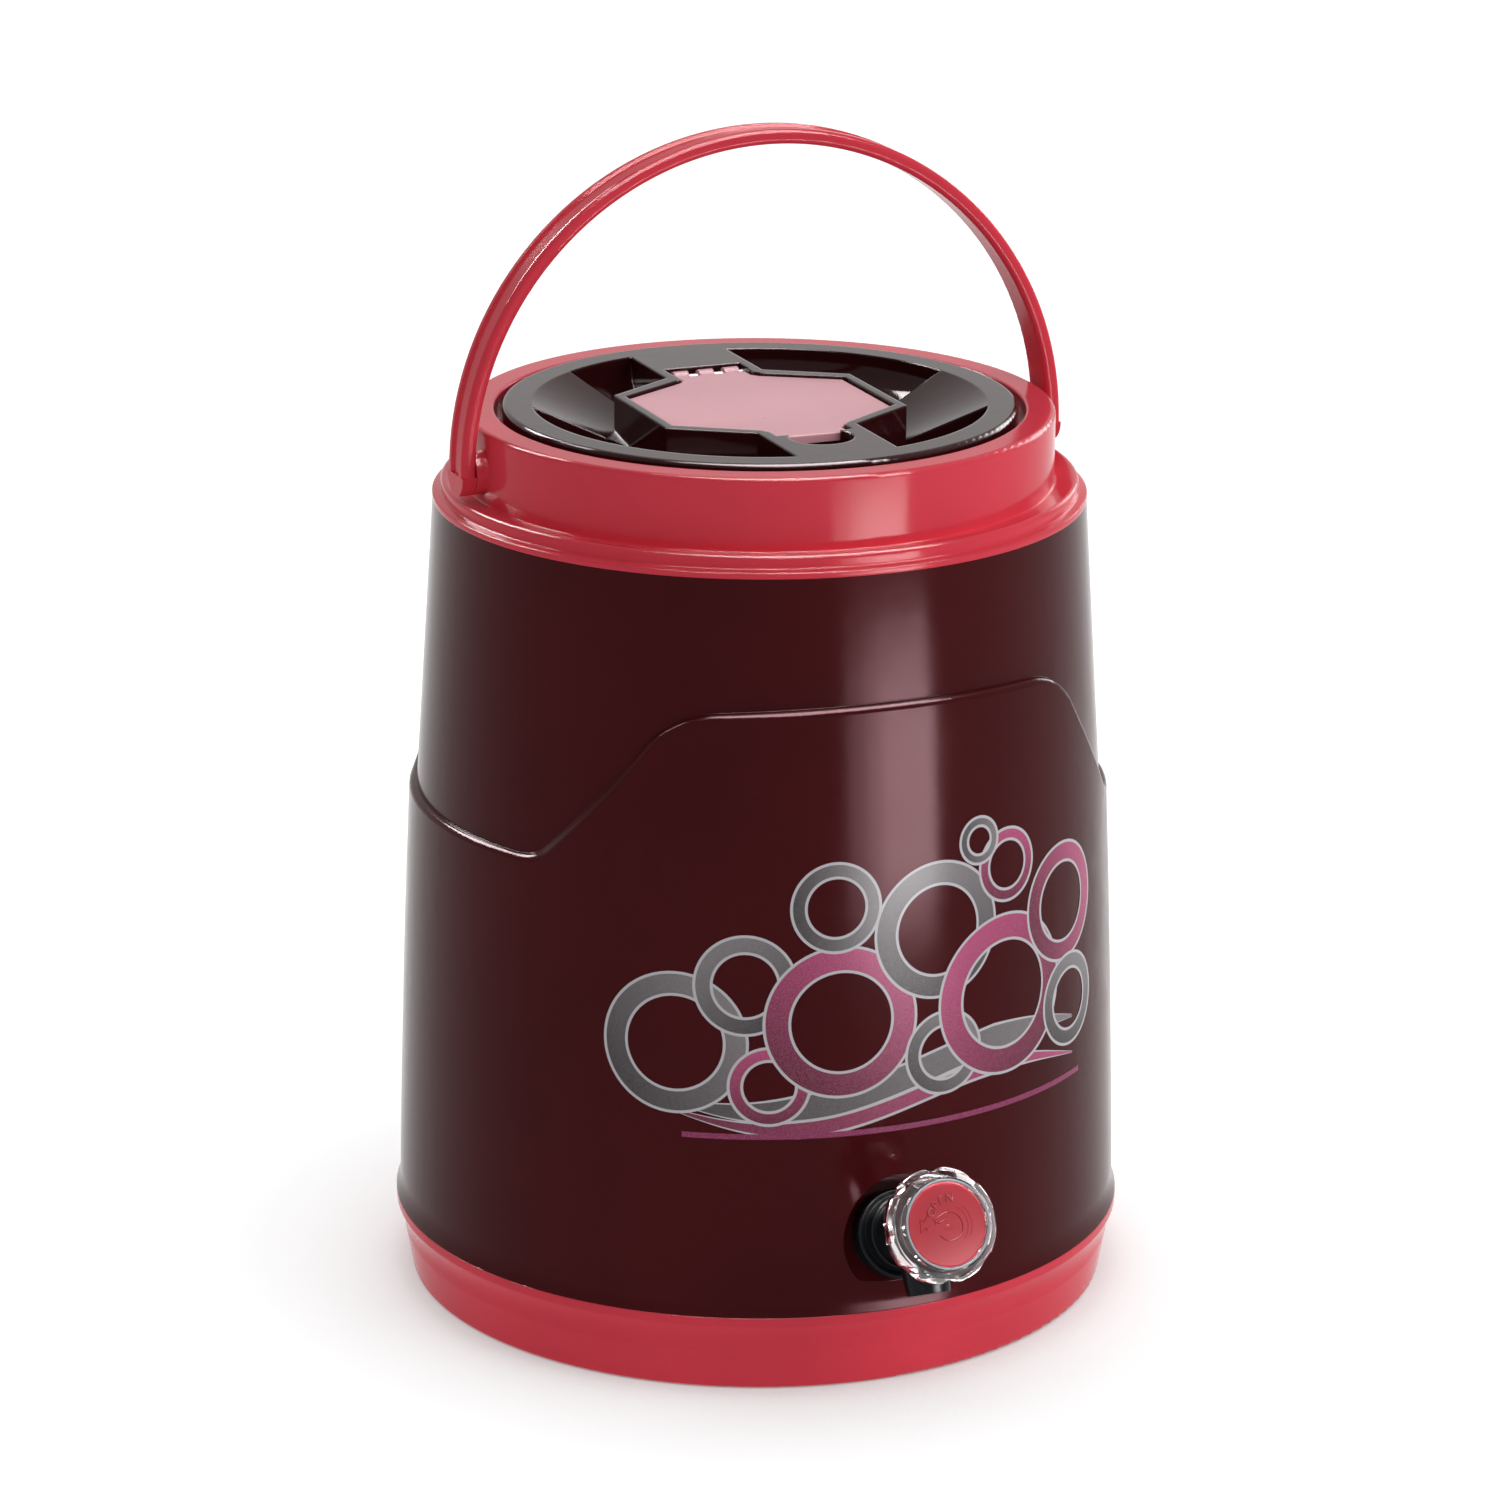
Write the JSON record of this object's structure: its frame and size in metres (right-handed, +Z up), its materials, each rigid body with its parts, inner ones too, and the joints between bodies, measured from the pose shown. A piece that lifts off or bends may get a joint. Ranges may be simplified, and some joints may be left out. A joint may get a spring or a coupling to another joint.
{
  "type": "water dispenser",
  "caption": "Round insulated water jug with a bail handle, a screw lid with a hinged pouring flap, and a tilted tap with a clear turning knob low on the front",
  "frame": {"origin": "centre of the flat bottom of the base", "axes": "+Z up along the jug's axis, -Y towards the tap at the front, X along the handle's pivots"},
  "size_m": [0.286, 0.3356, 0.4542],
  "materials": {
    "coral_shell": "glossy moulded plastic",
    "coral_handle": "glossy moulded plastic",
    "maroon_shell": "glossy moulded plastic",
    "maroon_lid": "glossy moulded plastic",
    "lid_inner": "food-safe plastic",
    "tank_white": "food-safe plastic",
    "foam": "rigid foam",
    "flap_pink": "satin moulded plastic",
    "pin_steel": "stainless pin",
    "screw_steel": "zinc-plated screw",
    "seal_clear": "soft silicone",
    "seal_black": "soft rubber",
    "tap_black": "glossy moulded plastic",
    "nut_black": "moulded plastic nut",
    "stem_white": "moulded plastic",
    "knob_clear": "clear hard plastic",
    "cap_coral": "glossy moulded plastic"
  },
  "bodies": {
    "jug": {"base_cover": "coral_shell", "base_screws": "screw_steel", "outer_body": "maroon_shell", "inner_liner": "tank_white", "foam_insulation": "foam", "top_collar": "coral_shell", "handle_clip_left": "pin_steel", "handle_clip_right": "pin_steel", "tap_body": "tap_black", "tap_outer_gasket": "seal_black", "tap_inner_gasket": "seal_black", "tap_lock_nut": "nut_black"},
    "bail": {"handle": "coral_handle", "handle_pivot_pin_left": "pin_steel", "handle_pivot_pin_right": "pin_steel"},
    "lid_carrier": {"lid_gasket": "seal_clear"},
    "lid": {"lid_outer_shell": "maroon_lid", "lid_inner_shell": "lid_inner", "lid_insulation": "foam", "flap_hinge_pin": "pin_steel"},
    "flap": {"pour_flap": "flap_pink", "flap_seal": "seal_clear"},
    "valve": {"tap_stem": "stem_white", "tap_seat_washer": "seal_black", "tap_stem_o_ring": "seal_black"},
    "knob": {"tap_knob": "knob_clear", "tap_knob_cap": "cap_coral"}
  },
  "joints": [
    {"name": "handle_hinge", "type": "hinge", "parent": "jug", "child": "bail", "pos_m": [0, 0, 0.331], "axis": [1, 0, 0], "range_deg": [-90, 90]},
    {"name": "lid_rise", "type": "slide", "parent": "jug", "child": "lid_carrier", "axis": [0, 0, 1], "range_m": [0, 0.009]},
    {"name": "lid_turn", "type": "hinge", "parent": "lid_carrier", "child": "lid", "pos_m": [0, 0, 0.335], "axis": [0, 0, 1], "range_deg": [0, 540]},
    {"name": "flap_hinge", "type": "hinge", "parent": "lid", "child": "flap", "pos_m": [0, 0.0565, 0.3455], "axis": [-1, 0, 0], "range_deg": [0, 105]},
    {"name": "tap_travel", "type": "slide", "parent": "jug", "child": "valve", "axis": [0, -0.9063, 0.4226], "range_m": [0, 0.003]},
    {"name": "tap_turn", "type": "hinge", "parent": "valve", "child": "knob", "pos_m": [0, -0.17478, 0.07632], "axis": [0, -0.9063, 0.4226], "range_deg": [0, 180]}
  ],
  "couplings": [
    {"joint": "lid_rise", "follows": "lid_turn", "m_per_rad": 0.00095493},
    {"joint": "tap_travel", "follows": "tap_turn", "m_per_rad": 0.00095493}
  ]
}
